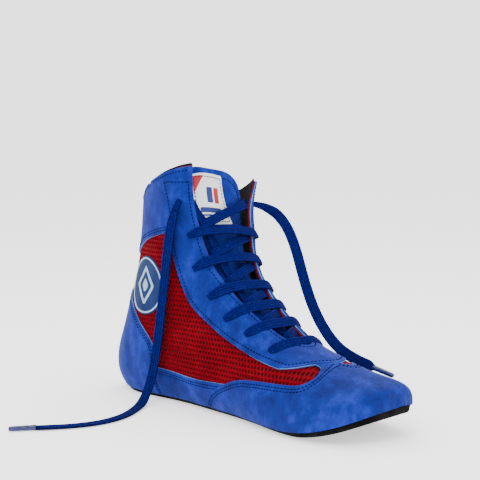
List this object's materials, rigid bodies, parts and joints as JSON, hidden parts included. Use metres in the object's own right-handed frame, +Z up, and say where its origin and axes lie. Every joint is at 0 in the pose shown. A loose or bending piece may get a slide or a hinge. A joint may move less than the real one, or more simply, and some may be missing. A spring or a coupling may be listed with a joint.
{
  "type": "combat sports boot",
  "caption": "Soft high-top wrestling and boxing boot for the right foot: suede panels over mesh, flat split sole turned up at the toe, laced throat with a hinged padded tongue.",
  "frame": {"origin": "on the ground under the middle of the boot's length and width, without the free lace ends", "axes": "+X towards the toe, +Y to the inner (medial) side of the foot, +Z up"},
  "size_m": [0.2806, 0.2309, 0.1868],
  "materials": {
    "suede_blue": "napped suede",
    "mesh_red": "perforated mesh",
    "lining_black": "woven",
    "outsole_black": "matte split leather",
    "board": "pressed fibre",
    "foam_black": "foam",
    "label_white": "woven satin",
    "badge_blue": "moulded film",
    "lace_navy": "flat braid",
    "aglet_blue": "clear film"
  },
  "bodies": {
    "boot": {"outsole": "outsole_black", "insole_board": "board", "footbed": "lining_black", "eyestay": "suede_blue", "ankle_collar_lateral": "suede_blue", "ankle_collar_medial": "suede_blue", "side_strip_lateral": "suede_blue", "side_strip_medial": "suede_blue", "heel_counter": "suede_blue", "vamp": "suede_blue", "quarter_mesh_lateral": "mesh_red", "quarter_mesh_medial": "mesh_red", "lining_lateral": "lining_black", "lining_medial": "lining_black", "heel_stiffener": "board", "vamp_backing": "board", "badge_lateral": "badge_blue", "badge_medial": "badge_blue", "tongue_anchor": "lining_black", "lace": "lace_navy", "lace_end_lateral": "lace_navy", "lace_end_medial": "lace_navy", "aglet_lateral": "aglet_blue", "aglet_medial": "aglet_blue"},
    "tongue": {"tongue_outer": "suede_blue", "tongue_pad": "foam_black", "tongue_lining": "lining_black", "tongue_label": "label_white"}
  },
  "joints": [
    {"name": "tongue_hinge", "type": "hinge", "parent": "boot", "child": "tongue", "pos_m": [0.0885, 0, 0.036], "axis": [0, 1, 0], "range_deg": [-6, 0]}
  ]
}
